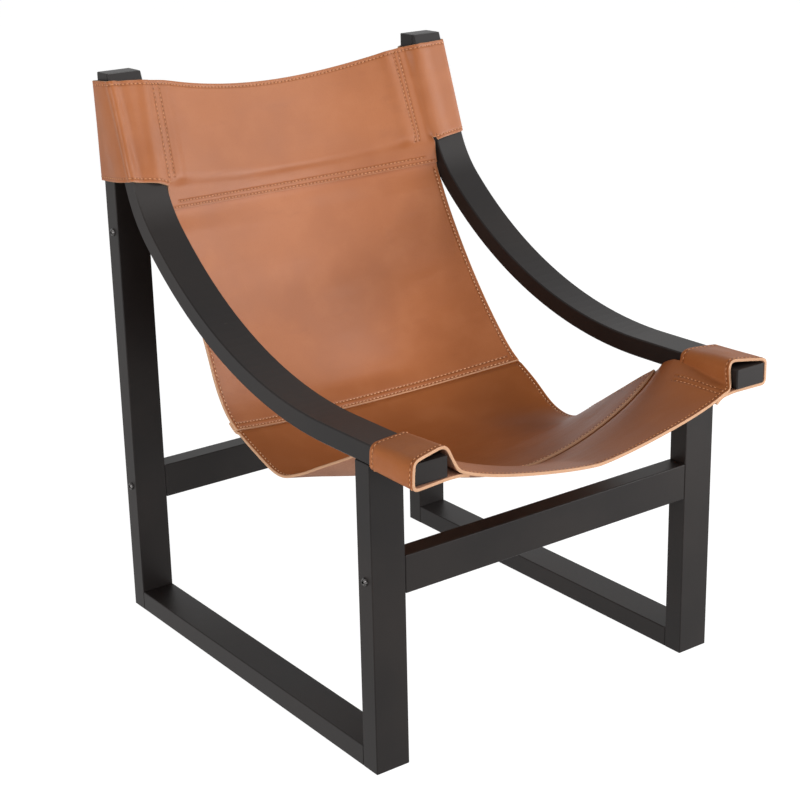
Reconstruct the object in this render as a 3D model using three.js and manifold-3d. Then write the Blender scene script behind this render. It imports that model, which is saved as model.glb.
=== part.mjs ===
// A leather sling lounge chair: two painted side frames, three cross rails that bolt between them, and
// a stitched leather sling that slips over the post tops and over the front ends of the curved rails.
// Millimetres, +Z up. X runs across the chair and the seat faces -Y. The pieces are laid out from
// the middle of the leg and post frame, and the whole chair is then set over its own middle.
import * as THREE from "three";
import { mergeVertices } from "three/addons/utils/BufferGeometryUtils.js";
import Module from "manifold-3d";

const wasm = await Module();
wasm.setup();

// Driving dimensions of the frame
const frameWidth = 569;
const frameDepth = 617;
const frameHeight = 800;
const barWidth = 50;
const barThickness = 28.7;
const edgeRadius = 1.5;
const glueLine = 0.3;
const overrun = 5;

// The curved rail: a level front run, a long sweep that takes a share of the rise above the arm, a
// tighter bend and a straight run up the post
const armHeight = 435;
const railThickness = 26;
const railOverhang = 85;
const railSweepRadius = 576;
const railBendRadius = 157;
const railSweepRiseShare = 0.441;
const railLeanAngle = THREE.MathUtils.degToRad(70.4);
const railNose = 5;

// Cross rails: the front one's middle lies this far below the arm, the low one's this high above the
// floor, and the high one's this far below the sleeves, which leave it clear
const crossRailHeight = 50;
const frontRailDrop = 179;
const lowRailHeight = 194;
const highRailDrop = 75;

// Fasteners: furniture bolts with barrel nuts at the cross rails, dowels at the glued joints
const boltRadius = 3;
const boltLength = 80;
const boltHeadRadius = 5.5;
const boltHeadHeight = 3.2;
const socketWidth = 4;
const socketDepth = 2;
const boltClearance = 0.4;
const nutRadius = 5;
const nutLength = 16;
const nutInset = 24;
const nutClearance = 0.3;
const nutSlotWidth = 1.4;
const nutSlotDepth = 1.6;
const dowelRadius = 4;
const dowelReach = 16;
const dowelClearance = 0.3;
const dowelSpacing = 24;
const railDowelRise = 14;

// The leather sling
const leatherThickness = 3.5;
const layGap = 0.3;
const sleeveTopDrop = 14;
const sleeveHeight = 134;
const bandBow = 40;
const bandTopDroop = 32;
const bandBottomDroop = 19;
const seamInset = 22;
const stripDrop = 39;
const plyTail = 10;
const topLap = 24;
const seatLap = 16;
const frontLap = 16;
const seatDrop = 169;
const loopLift = 4;
const loopGap = 1.8;
const foldReach = 5;
const sleeveSlack = 0.8;

const halfWidth = frameWidth / 2;
const halfDepth = frameDepth / 2;
const innerHalf = halfWidth - barWidth;
const postFront = halfDepth - barThickness;
const legBack = -halfDepth + barThickness;
const railFront = -halfDepth - railOverhang;
const railBottom = armHeight - railThickness;
const barMiddle = halfWidth - barWidth / 2;
const ply = leatherThickness + layGap;
const skin = leatherThickness / 2 + layGap;
const sleeveTop = frameHeight - sleeveTopDrop;
const sleeveBottom = sleeveTop - sleeveHeight;
const highRailHeight = sleeveBottom - highRailDrop;

// Paint, leather and hardware finishes
const paint = { color: 0x2b2624, roughness: 0.42, metalness: 0 };
const leather = { color: 0xb4764a, roughness: 0.5, metalness: 0 };
const leatherShade = { color: 0xa3663c, roughness: 0.5, metalness: 0 };
const steel = { color: 0x8f9092, roughness: 0.35, metalness: 1 };
const beech = { color: 0xcfae82, roughness: 0.75, metalness: 0 };

const chair = new THREE.Group();
const sides = [["left", -1], ["right", 1]];

function addPiece(name, geometry, finish) {
  const mesh = new THREE.Mesh(geometry, new THREE.MeshStandardMaterial(finish));
  mesh.name = name;
  chair.add(mesh);
}

// Solid cutting: geometries go to manifold solids and back
function toSolid(geometry) {
  const bare = geometry.clone();
  bare.deleteAttribute("normal");
  bare.deleteAttribute("uv");
  const merged = mergeVertices(bare, glueLine / 100);
  const triVerts = Uint32Array.from(merged.index.array);
  const vertProperties = Float32Array.from(merged.attributes.position.array);
  return new wasm.Manifold(new wasm.Mesh({ numProp: 3, vertProperties, triVerts }));
}

function toGeometry(solid) {
  const mesh = solid.getMesh();
  const geometry = new THREE.BufferGeometry();
  geometry.setAttribute("position", new THREE.BufferAttribute(new Float32Array(mesh.vertProperties), 3));
  geometry.setIndex(new THREE.BufferAttribute(new Uint32Array(mesh.triVerts), 1));
  return geometry;
}

function cut(geometry, tools) {
  const solid = tools.reduce((left, tool) => left.subtract(toSolid(tool)), toSolid(geometry));
  return toGeometry(solid);
}

// A round rod along an axis, from a start point and over a length
function rod(axis, start, length, radius, sideCount = 16) {
  const geometry = new THREE.CylinderGeometry(radius, radius, length, sideCount);
  const turn = new THREE.Quaternion().setFromUnitVectors(new THREE.Vector3(0, 1, 0), axis);
  geometry.applyQuaternion(turn);
  const middle = start.clone().addScaledVector(axis, length / 2);
  return geometry.translate(middle.x, middle.y, middle.z);
}

// A sawn bar with eased edges between two corners, its length along Z before it is turned
function easedBar(low, high) {
  const size = high.clone().sub(low);
  const ease = edgeRadius / 2;
  const [x, y] = [size.x / 2 - ease, size.y / 2 - ease];
  const outline = new THREE.Shape();
  outline.moveTo(x - ease, -y);
  outline.absarc(x - ease, -y + ease, ease, -Math.PI / 2, 0);
  outline.absarc(x - ease, y - ease, ease, 0, Math.PI / 2);
  outline.absarc(-x + ease, y - ease, ease, Math.PI / 2, Math.PI);
  outline.absarc(-x + ease, -y + ease, ease, Math.PI, 1.5 * Math.PI);
  const bevel = { bevelThickness: ease, bevelSize: ease, bevelSegments: 1, curveSegments: 2 };
  const bar = new THREE.ExtrudeGeometry(outline, { depth: size.z - edgeRadius, ...bevel });
  const middle = low.clone().add(high).multiplyScalar(1 / 2);
  return bar.translate(middle.x, middle.y, low.z + ease);
}

// The curved rail's side outline, laid out from the post top down to the front end
function railLayout() {
  const rise = frameHeight - armHeight;
  const sweepRise = rise * railSweepRiseShare;
  const sweepAngle = Math.acos(1 - sweepRise / railSweepRadius);
  const bendRise = railBendRadius * (Math.cos(sweepAngle) - Math.cos(railLeanAngle));
  const runRise = rise - sweepRise - bendRise;
  const topY = postFront - railNose;
  const bendEndY = topY - runRise / Math.tan(railLeanAngle);
  const bendEndZ = frameHeight - runRise;
  const bendCentre = [
    bendEndY - railBendRadius * Math.sin(railLeanAngle),
    bendEndZ + railBendRadius * Math.cos(railLeanAngle),
  ];
  const sweepEndY = bendCentre[0] + railBendRadius * Math.sin(sweepAngle);
  const sweepEndZ = armHeight + sweepRise;
  const sweepCentre = [sweepEndY - railSweepRadius * Math.sin(sweepAngle), armHeight + railSweepRadius];
  return { sweepAngle, topY, bendEndY, bendEndZ, bendCentre, sweepEndZ, sweepCentre };
}

const rail = railLayout();

// How far back the curved rail's upper face lies at a height, and how steep it is there
function railFace(z) {
  if (z > rail.bendEndZ) {
    return { y: rail.topY - (frameHeight - z) / Math.tan(railLeanAngle), lean: railLeanAngle };
  }
  const onBend = z > rail.sweepEndZ;
  const [centre, radius] = onBend ? [rail.bendCentre, railBendRadius] : [rail.sweepCentre, railSweepRadius];
  const lean = Math.acos((centre[1] - z) / radius);
  return { y: centre[0] + radius * Math.sin(lean), lean };
}

function curvedRail(side) {
  const ease = edgeRadius;
  const down = -Math.PI / 2;
  const [sweep, lean] = [down + rail.sweepAngle, down + railLeanAngle];
  const back = postFront - glueLine - ease;
  const topY = rail.topY + ease / Math.sin(railLeanAngle) - ease / Math.tan(railLeanAngle);
  const under = railThickness - ease;
  const underRadius = railBendRadius + under;
  const meetShare = (back - rail.bendCentre[0]) / underRadius;
  const meetLean = meetShare < Math.sin(railLeanAngle) ? Math.asin(meetShare) : railLeanAngle;
  const underY = rail.bendCentre[0] + underRadius * Math.sin(meetLean);
  const underZ = rail.bendCentre[1] - underRadius * Math.cos(meetLean);
  const meetZ = underZ + (back - underY) * Math.tan(meetLean);
  const outline = new THREE.Shape();
  outline.moveTo(railFront + ease, railBottom + ease);
  outline.lineTo(rail.sweepCentre[0], railBottom + ease);
  outline.absarc(...rail.sweepCentre, railSweepRadius + under, down, sweep);
  outline.absarc(...rail.bendCentre, underRadius, sweep, down + meetLean);
  outline.lineTo(back, meetZ);
  outline.lineTo(back, frameHeight - ease);
  outline.lineTo(topY, frameHeight - ease);
  outline.absarc(...rail.bendCentre, railBendRadius + ease, lean, sweep, true);
  outline.absarc(...rail.sweepCentre, railSweepRadius + ease, sweep, down, true);
  outline.lineTo(railFront + ease, armHeight - ease);
  const bevel = { bevelThickness: ease, bevelSize: ease, bevelSegments: 1, curveSegments: 14 };
  const bar = new THREE.ExtrudeGeometry(outline, { depth: barWidth - 2 * ease, ...bevel });
  const stand = new THREE.Matrix4().set(0, 0, 1, 0, 1, 0, 0, 0, 0, 1, 0, 0, 0, 0, 0, 1);
  return bar.applyMatrix4(stand).translate(side * barMiddle - barWidth / 2 + ease, 0, 0);
}

// Every glued joint: two dowels side by side, half their length in each piece
const along = {
  x: new THREE.Vector3(1, 0, 0),
  y: new THREE.Vector3(0, 1, 0),
  z: new THREE.Vector3(0, 0, 1),
};

function dowelPair(side, axis, joint) {
  return [-1, 1].map((end) => {
    const x = side * barMiddle + (end * dowelSpacing) / 2;
    return { axis, middle: new THREE.Vector3(x, joint.y, joint.z) };
  });
}

const scarfWidthShare = 0.9;
const scarfWidth = postFront - rail.topY + railThickness * scarfWidthShare;
const scarfZ = frameHeight - scarfWidth * Math.tan(railLeanAngle);

function sideDowels(side) {
  return {
    floor_front: dowelPair(side, along.y, { y: legBack, z: barThickness / 2 }),
    floor_rear: dowelPair(side, along.y, { y: postFront, z: barThickness / 2 }),
    leg_top: dowelPair(side, along.z, { y: (legBack - halfDepth) / 2, z: railBottom }),
    post_top: dowelPair(side, along.y, { y: postFront, z: scarfZ }),
  };
}

function dowelRod({ axis, middle }, radius, reach) {
  const start = middle.clone().addScaledVector(axis, -reach);
  return rod(axis, start, 2 * reach, radius, 12);
}

const dowelHole = (dowel) => dowelRod(dowel, dowelRadius + dowelClearance, dowelReach + dowelClearance);

// The three cross rails and, at each of their ends, one bolt, one barrel nut and one dowel
const crossRails = [
  ["front_cross_rail", -halfDepth, armHeight - frontRailDrop],
  ["rear_lower_cross_rail", postFront, lowRailHeight],
  ["rear_upper_cross_rail", postFront, highRailHeight],
];

function boltHole(side, y, z) {
  const start = new THREE.Vector3(side * (halfWidth + overrun), y, z);
  const length = boltLength + overrun + boltClearance;
  return rod(along.x.clone().multiplyScalar(-side), start, length, boltRadius + boltClearance);
}

function nutHole(side, front, z) {
  const depth = barThickness / 2 + nutLength / 2 + nutClearance;
  const start = new THREE.Vector3(side * (innerHalf - nutInset), front + barThickness + overrun, z);
  return rod(along.y.clone().negate(), start, depth + overrun, nutRadius + nutClearance);
}

function railDowel(side, front, z) {
  const middle = new THREE.Vector3(side * innerHalf, front + barThickness / 2, z + railDowelRise);
  return { axis: along.x, middle };
}

function crossRail(front, middleZ) {
  const reach = innerHalf - glueLine;
  const low = new THREE.Vector3(-crossRailHeight / 2, front, -reach);
  const high = new THREE.Vector3(crossRailHeight / 2, front + barThickness, reach);
  const bar = easedBar(low, high).rotateY(Math.PI / 2).translate(0, 0, middleZ);
  const middleY = front + barThickness / 2;
  const holes = sides.flatMap(([, side]) => [
    boltHole(side, middleY, middleZ),
    nutHole(side, front, middleZ),
    dowelHole(railDowel(side, front, middleZ)),
  ]);
  return cut(bar, holes);
}

// A bolt: a domed head with a hexagon socket on a plain shank. The head's outline is in shares of
// its radius and height.
const boltHeadShares = [[0, 0], [1, 0], [0.94, 0.45], [0.6, 1], [0, 1]];

function bolt(side, y, z) {
  const outline = boltHeadShares.map(([r, h]) => new THREE.Vector2(r * boltHeadRadius, h * boltHeadHeight));
  const head = new THREE.LatheGeometry(outline, 16);
  head.rotateZ((-side * Math.PI) / 2).translate(side * (halfWidth + layGap), y, z);
  const socketStart = new THREE.Vector3(side * (halfWidth + layGap + boltHeadHeight + overrun), y, z);
  const socketAxis = along.x.clone().multiplyScalar(-side);
  const socketRadius = socketWidth / 2 / Math.cos(Math.PI / 6);
  const socket = rod(socketAxis, socketStart, socketDepth + overrun, socketRadius, 6);
  const shankStart = new THREE.Vector3(side * (halfWidth + boltHeadHeight / 2), y, z);
  const shank = rod(socketAxis, shankStart, boltLength + boltHeadHeight / 2, boltRadius);
  return toGeometry(toSolid(head).add(toSolid(shank)).subtract(toSolid(socket)));
}

function barrelNut(side, front, z) {
  const x = side * (innerHalf - nutInset);
  const start = new THREE.Vector3(x, front + barThickness / 2 - nutLength / 2, z);
  const barrel = rod(along.y, start, nutLength, nutRadius);
  const threadStart = new THREE.Vector3(x - 2 * nutRadius, front + barThickness / 2, z);
  const thread = rod(along.x, threadStart, 4 * nutRadius, boltRadius + boltClearance / 2);
  const slot = new THREE.BoxGeometry(nutSlotWidth, nutSlotDepth * 2, 4 * nutRadius);
  slot.translate(x, front + barThickness / 2 + nutLength / 2, z);
  return cut(barrel, [thread, slot]);
}

// Side frames: rear post, front leg, floor rail and curved rail
function post(side) {
  const low = new THREE.Vector3(side * barMiddle - barWidth / 2, postFront, 0);
  const high = new THREE.Vector3(side * barMiddle + barWidth / 2, halfDepth, frameHeight);
  const middleY = postFront + barThickness / 2;
  const dowels = sideDowels(side);
  const holes = [...dowels.floor_rear, ...dowels.post_top].map(dowelHole);
  for (const z of [lowRailHeight, highRailHeight]) {
    holes.push(boltHole(side, middleY, z), dowelHole(railDowel(side, postFront, z)));
  }
  return cut(easedBar(low, high), holes);
}

function frontLeg(side) {
  const low = new THREE.Vector3(side * barMiddle - barWidth / 2, -halfDepth, 0);
  const high = new THREE.Vector3(side * barMiddle + barWidth / 2, legBack, railBottom - glueLine);
  const dowels = sideDowels(side);
  const holes = [...dowels.floor_front, ...dowels.leg_top].map(dowelHole);
  const z = armHeight - frontRailDrop;
  holes.push(boltHole(side, -halfDepth + barThickness / 2, z), dowelHole(railDowel(side, -halfDepth, z)));
  return cut(easedBar(low, high), holes);
}

function floorRail(side) {
  const reach = (postFront - legBack) / 2 - glueLine;
  const low = new THREE.Vector3(-barWidth / 2, -barThickness / 2, -reach);
  const high = new THREE.Vector3(barWidth / 2, barThickness / 2, reach);
  const bar = easedBar(low, high).rotateX(Math.PI / 2);
  bar.translate(side * barMiddle, (postFront + legBack) / 2, barThickness / 2);
  const dowels = sideDowels(side);
  return cut(bar, [...dowels.floor_front, ...dowels.floor_rear].map(dowelHole));
}

function sideFrame([name, side]) {
  const dowels = sideDowels(side);
  addPiece(`${name}_rear_post`, post(side), paint);
  addPiece(`${name}_front_leg`, frontLeg(side), paint);
  addPiece(`${name}_floor_rail`, floorRail(side), paint);
  const railHoles = [...dowels.leg_top, ...dowels.post_top].map(dowelHole);
  addPiece(`${name}_curved_rail`, cut(curvedRail(side), railHoles), paint);
  for (const [joint, pair] of Object.entries(dowels)) {
    pair.forEach((dowel, index) => {
      addPiece(`${name}_${joint}_dowel_${index + 1}`, dowelRod(dowel, dowelRadius, dowelReach), beech);
    });
  }
}

function crossRailSet([name, front, z]) {
  addPiece(name, crossRail(front, z), paint);
  for (const [sideName, side] of sides) {
    const place = name.replace("_cross_rail", `_${sideName}`);
    addPiece(`${place}_bolt`, bolt(side, front + barThickness / 2, z), steel);
    addPiece(`${place}_barrel_nut`, barrelNut(side, front, z), steel);
    addPiece(`${place}_dowel`, dowelRod(railDowel(side, front, z), dowelRadius, dowelReach), beech);
  }
}

// The sling hangs from the sleeve bottoms down to the seat and up to the front loops. Each station
// gives the free side edge and the middle line. The first number is the share of the way forward,
// and the second is the share of the rise above the arm, or of the seat's drop when it is negative.
// The last number is the half width, as a share of the half gap between the rails. Two seams lie
// at shares of the way along the sling.
const hangTopY = railFace(sleeveBottom).y - skin;
const hangFrontY = railFront + glueLine;
const stationShares = [
  [0, 1, -0.062, 0.915, 0.985],
  [0.011, 0.82, -0.057, 0.77, 0.985],
  [0.042, 0.59, -0.029, 0.5, 0.985],
  [0.093, 0.286, 0.016, 0.152, 0.99],
  [0.152, -0.01, 0.073, -0.22, 1.02],
  [0.203, -0.32, 0.138, -0.547, 1.03],
  [0.257, -0.53, 0.19, -0.68, 1.03],
  [0.346, -0.66, 0.283, -0.9, 1.02],
  [0.434, -0.8, 0.396, -1, 1],
  [0.511, -0.75, 0.51, -0.98, 0.985],
  [0.586, -0.61, 0.623, -0.89, 0.98],
  [0.671, -0.41, 0.712, -0.76, 0.98],
  [0.751, -0.23, 0.769, -0.69, 0.98],
  [0.866, -0.05, 0.885, -0.52, 0.98],
  [1, -0.055, 1, -0.41, 0.98],
];
const seatSeamShare = 0.418;
const frontSeamShare = 0.857;
const stepShare = 0.0007;
const crossCurvePower = 2.2;

function hangPoint(forwardShare, riseShare, x) {
  const y = hangTopY + (hangFrontY - hangTopY) * forwardShare;
  const rise = riseShare > 0 ? sleeveBottom - armHeight : seatDrop;
  return new THREE.Vector3(x, y, armHeight + rise * riseShare);
}

const edgeLine = new THREE.CatmullRomCurve3(
  stationShares.map(([forward, rise, , , width]) => hangPoint(forward, rise, width * innerHalf)),
);
const middleLine = new THREE.CatmullRomCurve3(
  stationShares.map(([, , forward, rise]) => hangPoint(forward, rise, 0)),
);

// A point of the sling's middle surface, at a share of the way along and a share of the half width
function slingPoint(way, across) {
  const edge = edgeLine.getPoint(way);
  const middle = middleLine.getPoint(way);
  const sag = 1 - Math.abs(across) ** crossCurvePower;
  const point = edge.clone().lerp(middle, sag);
  point.x = edge.x * across;
  return point;
}

// The share of the way at which the seat edge comes as far forward as a place
function wayForward(y) {
  let [behind, ahead] = [0, 1];
  while (ahead - behind > stepShare ** 2) {
    const way = (behind + ahead) / 2;
    [behind, ahead] = edgeLine.getPoint(way).y > y ? [way, ahead] : [behind, way];
  }
  return ahead;
}

// The share of the way that lies a real distance further along the side edge
function wayAfter(way, distance) {
  const here = edgeLine.getPoint(way);
  const next = edgeLine.getPoint(way + stepShare);
  return way + (distance * stepShare) / here.distanceTo(next);
}

// Leather folded round a bar's corners: straight between the corners, with a soft bend at each one
function foldedPath(corners) {
  const points = corners.map(([u, v]) => new THREE.Vector2(u, v));
  const path = new THREE.Path().moveTo(points[0].x, points[0].y);
  points.slice(1, -1).forEach((corner, index) => {
    const before = points[index].clone().sub(corner);
    const after = points[index + 2].clone().sub(corner);
    const reach = Math.min(foldReach, before.length() / 2, after.length() / 2);
    const start = corner.clone().addScaledVector(before.normalize(), reach);
    const end = corner.clone().addScaledVector(after.normalize(), reach);
    path.lineTo(start.x, start.y);
    path.quadraticCurveTo(corner.x, corner.y, end.x, end.y);
  });
  const last = points.at(-1);
  path.lineTo(last.x, last.y);
  return path.getPoints(3).slice(1).map(({ x, y }) => [x, y]);
}

// The normal of a sheet's grid at one point, from the neighbours that share a kept cell with it
function sheetNormal(grid, kept, j, i) {
  const sideways = (column) => kept(j - 1, column) || kept(j, column);
  const downward = (row) => kept(row, i - 1) || kept(row, i);
  const across = grid[j][sideways(i) ? i + 1 : i].clone().sub(grid[j][sideways(i - 1) ? i - 1 : i]);
  const down = grid[downward(j) ? j + 1 : j][i].clone().sub(grid[downward(j - 1) ? j - 1 : j][i]);
  return down.cross(across).normalize();
}

// A closed sheet of leather from a grid of middle points. Only the kept cells are filled, and the
// outer face lies half a thickness off along the grid's normal.
function leatherSheet(grid, keepCell, sink = () => 0) {
  const [rowCount, columnCount] = [grid.length, grid[0].length];
  const kept = (j, i) => j >= 0 && i >= 0 && j < rowCount - 1 && i < columnCount - 1 && keepCell(j, i);
  const points = [];
  const [back, front] = [-1, 1].map((face) => grid.map((row, j) => row.map((point, i) => {
    const normal = sheetNormal(grid, kept, j, i);
    points.push(point.clone().addScaledVector(normal, (face * leatherThickness) / 2 - sink(j, i)));
    return points.length - 1;
  })));
  const triangles = [];
  const quad = (a, b, c, d) => triangles.push(a, b, c, a, c, d);
  grid.slice(1).forEach((row, j) => row.slice(1).forEach((point, i) => {
    if (!kept(j, i)) return;
    const corners = [[j, i], [j + 1, i], [j + 1, i + 1], [j, i + 1]];
    const [a, b, c, d] = corners.map(([y, x]) => front[y][x]);
    const [e, f, g, h] = corners.map(([y, x]) => back[y][x]);
    quad(b, c, d, a);
    quad(f, e, h, g);
    if (!kept(j - 1, i)) quad(e, a, d, h);
    if (!kept(j + 1, i)) quad(g, c, b, f);
    if (!kept(j, i - 1)) quad(f, b, a, e);
    if (!kept(j, i + 1)) quad(h, d, c, g);
  }));
  const used = [...new Set(triangles)];
  const place = new Map(used.map((corner, index) => [corner, index]));
  const geometry = new THREE.BufferGeometry().setFromPoints(used.map((corner) => points[corner]));
  geometry.setIndex(triangles.map((corner) => place.get(corner)));
  return geometry;
}

function evenly(from, to, count) {
  return Array.from({ length: count + 1 }, (unused, index) => from + ((to - from) * index) / count);
}

// The sling's columns: from the middle to the closing seams, then the flanks out to the free edges
const seamX = innerHalf - seamInset;
const mainShares = evenly(0, seamX / innerHalf, 8);
const flankShares = evenly(seamX / innerHalf, 1, 3).slice(1);
const halfShares = [...mainShares, ...flankShares];
const acrossShares = [...halfShares.slice(1).map((share) => -share).reverse(), ...halfShares];

// The band ends a little below the sleeves, and the loops start just in front of the legs
const bandWay = wayAfter(0, stripDrop);
const loopWay = wayForward(-halfDepth - loopGap);

// A panel between two seams. Its top rows lie under the next piece, so they are sunk by one ply.
function panel(ways, lastSunk) {
  const grid = ways.map((way) => acrossShares.map((share) => slingPoint(way, share)));
  return leatherSheet(grid, () => true, (row) => (ways[row] <= lastSunk ? ply : 0));
}

function backPanel() {
  const top = wayAfter(bandWay, -topLap);
  const under = wayAfter(bandWay, 2 * layGap);
  const end = wayAfter(seatSeamShare, seatLap / 2);
  const body = evenly(wayAfter(under, 2 * ply), end, 12);
  return panel([top, under, ...body], under);
}

function seatPanel() {
  const top = wayAfter(seatSeamShare, -seatLap / 2);
  const under = wayAfter(seatSeamShare, seatLap / 2 + 2 * layGap);
  const end = wayAfter(frontSeamShare, frontLap / 2);
  const body = evenly(wayAfter(under, 2 * ply), end, 15);
  return panel([top, under, ...body], under);
}

// The two bands end in wings that wrap the frame. Both are laid out as rows of points: the main
// strip from the middle to the closing seam, then the wing. Rows without a wing use its first
// columns for the flank.
const narrowReach = halfShares.length - 1;

function mirrored(right) {
  const left = right.slice(1).reverse().map((point) => new THREE.Vector3(-point.x, point.y, point.z));
  return [...left, ...right];
}

function narrowRow(way, wingCount) {
  const row = halfShares.map((share) => slingPoint(way, share));
  const spare = Array.from({ length: wingCount - flankShares.length }, () => row.at(-1));
  return [...row, ...spare];
}

function fromMiddle(grid, column) {
  const middleColumn = (grid[0].length - 1) / 2;
  return Math.max(middleColumn - column, column + 1 - middleColumn);
}

// The front band's loops slip over the curved rails. In each loop the leather comes up inside the
// rail, goes over it and down outside, returns underneath and ends in a tail sewn below the band.
function loopPath() {
  const joint = slingPoint(1, seamX / innerHalf);
  const tail = slingPoint(1, (seamX - plyTail) / innerHalf);
  const under = railBottom - skin;
  const side = halfWidth + skin + sleeveSlack;
  return foldedPath([
    [joint.x, joint.z],
    [innerHalf - skin, railBottom + railThickness / 3],
    [innerHalf - skin, armHeight + skin + loopLift],
    [side, armHeight + skin + loopLift / 3],
    [side, under],
    [innerHalf + layGap, under],
    [joint.x, joint.z - ply - layGap],
    [tail.x, tail.z - ply - layGap],
  ]);
}

function frontBand() {
  const top = wayAfter(frontSeamShare, -frontLap / 2);
  const under = wayAfter(frontSeamShare, frontLap / 2 + 2 * layGap);
  const narrow = [top, under, ...evenly(wayAfter(under, 2 * ply), loopWay, 2).slice(0, -1)];
  const path = loopPath();
  const loopRows = evenly(loopWay, 1, 3).map((way) => {
    const main = mainShares.map((share) => slingPoint(way, share));
    const wing = path.map(([x, z]) => new THREE.Vector3(x, main.at(-1).y, z));
    return [...main, ...wing];
  });
  const narrowRows = narrow.map((way) => narrowRow(way, path.length));
  const grid = [...narrowRows, ...loopRows].map(mirrored);
  const keep = (row, column) => row >= narrow.length || fromMiddle(grid, column) <= narrowReach;
  return leatherSheet(grid, keep, (row) => (row < narrow.length && narrow[row] <= under ? ply : 0));
}

// The top band's sleeves slip over each post with its rail. The back ply returns to the band just
// inside the rail and is sewn there. The band's lower strip laps over the back panel.
function sleevePath(front, seamY, tailY) {
  const back = halfDepth + skin + sleeveSlack;
  const side = halfWidth + skin + sleeveSlack;
  return foldedPath([
    [seamX, seamY],
    [innerHalf - skin, front],
    [side, front],
    [side, back],
    [innerHalf - skin, back],
    [seamX, seamY + ply + layGap],
    [seamX - plyTail, tailY + ply + layGap],
  ]);
}

function sleeveRow(height) {
  const z = sleeveBottom + sleeveHeight * height;
  const face = railFace(z);
  const front = face.y - skin / Math.sin(face.lean);
  const bow = (share) => front + bandBow * (1 - share ** crossCurvePower);
  const droop = bandBottomDroop + (bandTopDroop - bandBottomDroop) * height;
  const main = mainShares.map((share) => {
    const dip = droop * (1 - (share / mainShares.at(-1)) ** 2);
    return new THREE.Vector3(share * innerHalf, bow(share), z - dip);
  });
  const path = sleevePath(front, main.at(-1).y, bow((seamX - plyTail) / innerHalf));
  return [...main, ...path.map(([x, y]) => new THREE.Vector3(x, y, z))];
}

function topBand() {
  const sleeveRows = evenly(1, 0, 4).map(sleeveRow);
  const wingCount = sleeveRows[0].length - mainShares.length;
  const stripWays = [wayAfter(bandWay, -topLap - ply), wayAfter(bandWay, -topLap), bandWay];
  const stripRows = stripWays.map((way) => narrowRow(way, wingCount));
  const grid = [...sleeveRows, ...stripRows].map(mirrored);
  const keep = (row, column) => row < sleeveRows.length - 1 || fromMiddle(grid, column) <= narrowReach;
  return leatherSheet(grid, keep);
}

sides.forEach(sideFrame);
crossRails.forEach(crossRailSet);
addPiece("top_band", topBand(), leather);
addPiece("back_panel", backPanel(), leather);
addPiece("seat_panel", seatPanel(), leatherShade);
addPiece("front_band", frontBand(), leather);

const sleeveDepth = skin + sleeveSlack + leatherThickness / 2;
chair.position.y = (railOverhang - sleeveDepth) / 2;

export default chair;
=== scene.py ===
import math
from collections import namedtuple

import bpy
import numpy as np
from mathutils import Matrix, Vector


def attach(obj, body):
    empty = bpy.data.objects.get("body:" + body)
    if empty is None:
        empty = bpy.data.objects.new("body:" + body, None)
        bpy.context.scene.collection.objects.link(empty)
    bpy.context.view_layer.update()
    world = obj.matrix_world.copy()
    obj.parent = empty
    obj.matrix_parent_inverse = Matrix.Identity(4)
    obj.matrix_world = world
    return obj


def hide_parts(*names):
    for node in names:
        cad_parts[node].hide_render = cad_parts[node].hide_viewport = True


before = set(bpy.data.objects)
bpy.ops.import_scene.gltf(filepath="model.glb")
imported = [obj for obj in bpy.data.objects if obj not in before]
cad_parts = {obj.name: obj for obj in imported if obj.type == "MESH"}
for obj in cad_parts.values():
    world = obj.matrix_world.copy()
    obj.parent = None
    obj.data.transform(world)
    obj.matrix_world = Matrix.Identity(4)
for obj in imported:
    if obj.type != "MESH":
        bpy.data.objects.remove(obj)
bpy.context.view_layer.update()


# ---------------------------------------------------------------------------------------------
# Camera: a long lens at standing height, to the left of the chair and in front of it, as the
# product photograph was taken. Metres, and degrees for the turns.
# ---------------------------------------------------------------------------------------------
camera_place = Vector((-1.3803, -1.8123, 1.1507))
camera_yaw = math.radians(33.81)
camera_pitch = math.radians(17.79)
camera_roll = math.radians(-2.07)

looking = Vector((
    math.sin(camera_yaw) * math.cos(camera_pitch),
    math.cos(camera_yaw) * math.cos(camera_pitch),
    -math.sin(camera_pitch),
))
level_right = Vector((math.cos(camera_yaw), -math.sin(camera_yaw), 0))
level_up = level_right.cross(looking)
camera_right = math.cos(camera_roll) * level_right + math.sin(camera_roll) * level_up
camera_up = -math.sin(camera_roll) * level_right + math.cos(camera_roll) * level_up
camera_turn = Matrix((camera_right, camera_up, -looking)).transposed().to_4x4()

lens = bpy.data.cameras.new("photo_camera")
lens.sensor_width = 36
lens.lens = 78.81
lens.shift_x = 0.0995
lens.shift_y = -0.054
camera = bpy.data.objects.new("photo_camera", lens)
camera.matrix_world = Matrix.Translation(camera_place) @ camera_turn
bpy.context.scene.collection.objects.link(camera)
bpy.context.scene.camera = camera


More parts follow.
